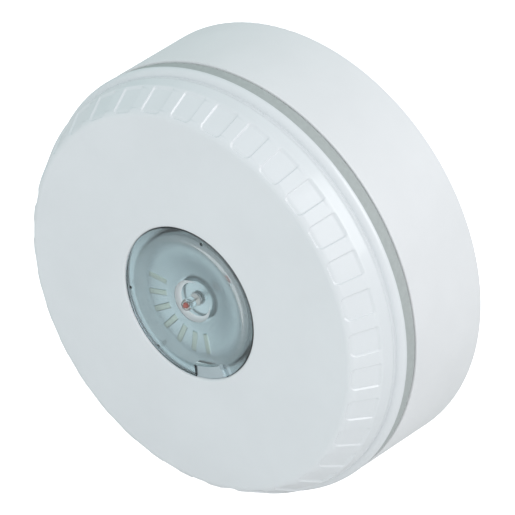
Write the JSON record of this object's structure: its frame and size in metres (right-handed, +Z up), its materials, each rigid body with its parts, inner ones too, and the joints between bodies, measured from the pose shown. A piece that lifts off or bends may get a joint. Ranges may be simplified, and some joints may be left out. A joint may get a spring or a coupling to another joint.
{
  "type": "visual alarm beacon",
  "caption": "Round white visual alarm beacon: a twist-on head with a clear dished lens and central lamp, a grey sealing band and a deep wall box.",
  "frame": {"origin": "centre of the mounting face, on the wall plane", "axes": "+Z up; the lens faces -Y; +X is to the right as seen from the front; the axis of the round body is Y"},
  "size_m": [0.1004, 0.0396, 0.1004],
  "materials": {
    "white_shell": "satin white moulding",
    "white_box": "satin white moulding",
    "inner_moulding": "fine texture",
    "clear_lens": "clear polished polycarbonate",
    "clear_lamp": "clear epoxy",
    "silver_reflector": "satin silvered plastic",
    "red_die": "red emitter",
    "grey_seal": "matt grey elastomer",
    "black_rubber": "matt",
    "pale_silicone": "translucent, satin",
    "circuit_board": "green solder mask",
    "lamp_board": "white solder mask",
    "aluminium": "machined",
    "brass": "plain",
    "zinc_steel": "bright zinc plate",
    "tinned_metal": "tin plate",
    "black_plastic": "moulded",
    "red_plastic": "moulded",
    "white_lever": "moulded",
    "terminal_plastic": "moulded",
    "catch_plastic": "moulded acetal",
    "can_sleeve": "bare aluminium can",
    "ceramic": "fired",
    "ferrite": "pressed ferrite",
    "wire_cover": "PVC"
  },
  "bodies": {
    "base": {"back_box": "white_box", "cable_grommet": "black_rubber", "catch_spring": "zinc_steel", "terminal_plate": "inner_moulding", "plate_screws": "zinc_steel", "terminal_block": "terminal_plastic", "contact_springs": "brass"},
    "seal": {"seal_ring": "grey_seal"},
    "head": {"front_cap": "white_shell", "beacon_lens": "clear_lens", "lens_seal": "pale_silicone", "lens_retainer": "inner_moulding", "retainer_screws": "zinc_steel", "reflector": "silver_reflector", "led_body": "clear_lamp", "led_leadframe": "tinned_metal", "led_die": "red_die", "led_board": "lamp_board", "heat_spreader": "aluminium", "spreader_pillars": "brass", "led_wires": "wire_cover", "main_board": "circuit_board", "capacitors": "can_sleeve", "inductor": "ferrite", "driver_chip": "black_plastic", "chip_parts": "ceramic", "dip_switch": "red_plastic", "head_contacts": "tinned_metal", "head_chassis": "inner_moulding", "chassis_screws": "zinc_steel", "board_screws": "zinc_steel"},
    "lock_catch": {"lock_catch": "catch_plastic"},
    "dip_lever_1": {"dip_lever_1": "white_lever"},
    "dip_lever_2": {"dip_lever_2": "white_lever"},
    "dip_lever_3": {"dip_lever_3": "white_lever"},
    "dip_lever_4": {"dip_lever_4": "white_lever"},
    "dip_lever_5": {"dip_lever_5": "white_lever"},
    "terminal_screw_1": {"terminal_screw_1": "zinc_steel"},
    "terminal_clamp_1": {"terminal_clamp_1": "zinc_steel"},
    "terminal_screw_2": {"terminal_screw_2": "zinc_steel"},
    "terminal_clamp_2": {"terminal_clamp_2": "zinc_steel"},
    "terminal_screw_3": {"terminal_screw_3": "zinc_steel"},
    "terminal_clamp_3": {"terminal_clamp_3": "zinc_steel"},
    "terminal_screw_4": {"terminal_screw_4": "zinc_steel"},
    "terminal_clamp_4": {"terminal_clamp_4": "zinc_steel"}
  },
  "joints": [
    {"name": "head_lift", "type": "slide", "parent": "base", "child": "seal", "axis": [0, -1, 0], "range_m": [0, 0.04]},
    {"name": "head_twist", "type": "hinge", "parent": "seal", "child": "head", "pos_m": [0, -0.02, 0], "axis": [0, 1, 0], "range_deg": [0, 22]},
    {"name": "lock_catch_slide", "type": "slide", "parent": "base", "child": "lock_catch", "axis": [0, -1, 0], "range_m": [0, 0.0015]},
    {"name": "dip_slide_1", "type": "slide", "parent": "head", "child": "dip_lever_1", "axis": [0, 0, 1], "range_m": [0, 0.0012]},
    {"name": "dip_slide_2", "type": "slide", "parent": "head", "child": "dip_lever_2", "axis": [0, 0, 1], "range_m": [0, 0.0012]},
    {"name": "dip_slide_3", "type": "slide", "parent": "head", "child": "dip_lever_3", "axis": [0, 0, 1], "range_m": [0, 0.0012]},
    {"name": "dip_slide_4", "type": "slide", "parent": "head", "child": "dip_lever_4", "axis": [0, 0, 1], "range_m": [0, 0.0012]},
    {"name": "dip_slide_5", "type": "slide", "parent": "head", "child": "dip_lever_5", "axis": [0, 0, 1], "range_m": [0, 0.0012]},
    {"name": "terminal_screw_turn_1", "type": "hinge", "parent": "base", "child": "terminal_screw_1", "pos_m": [-0.012, -0.0155, -0.026], "axis": [0, 1, 0], "range_deg": [0, 1080]},
    {"name": "terminal_clamp_rise_1", "type": "slide", "parent": "base", "child": "terminal_clamp_1", "axis": [0, -1, 0], "range_m": [0, 0.0015]},
    {"name": "terminal_screw_turn_2", "type": "hinge", "parent": "base", "child": "terminal_screw_2", "pos_m": [-0.004, -0.0155, -0.026], "axis": [0, 1, 0], "range_deg": [0, 1080]},
    {"name": "terminal_clamp_rise_2", "type": "slide", "parent": "base", "child": "terminal_clamp_2", "axis": [0, -1, 0], "range_m": [0, 0.0015]},
    {"name": "terminal_screw_turn_3", "type": "hinge", "parent": "base", "child": "terminal_screw_3", "pos_m": [0.004, -0.0155, -0.026], "axis": [0, 1, 0], "range_deg": [0, 1080]},
    {"name": "terminal_clamp_rise_3", "type": "slide", "parent": "base", "child": "terminal_clamp_3", "axis": [0, -1, 0], "range_m": [0, 0.0015]},
    {"name": "terminal_screw_turn_4", "type": "hinge", "parent": "base", "child": "terminal_screw_4", "pos_m": [0.012, -0.0155, -0.026], "axis": [0, 1, 0], "range_deg": [0, 1080]},
    {"name": "terminal_clamp_rise_4", "type": "slide", "parent": "base", "child": "terminal_clamp_4", "axis": [0, -1, 0], "range_m": [0, 0.0015]}
  ],
  "couplings": [
    {"joint": "terminal_screw_turn_1", "follows": "terminal_clamp_rise_1", "rad_per_m": 12566},
    {"joint": "terminal_screw_turn_2", "follows": "terminal_clamp_rise_2", "rad_per_m": 12566},
    {"joint": "terminal_screw_turn_3", "follows": "terminal_clamp_rise_3", "rad_per_m": 12566},
    {"joint": "terminal_screw_turn_4", "follows": "terminal_clamp_rise_4", "rad_per_m": 12566}
  ]
}
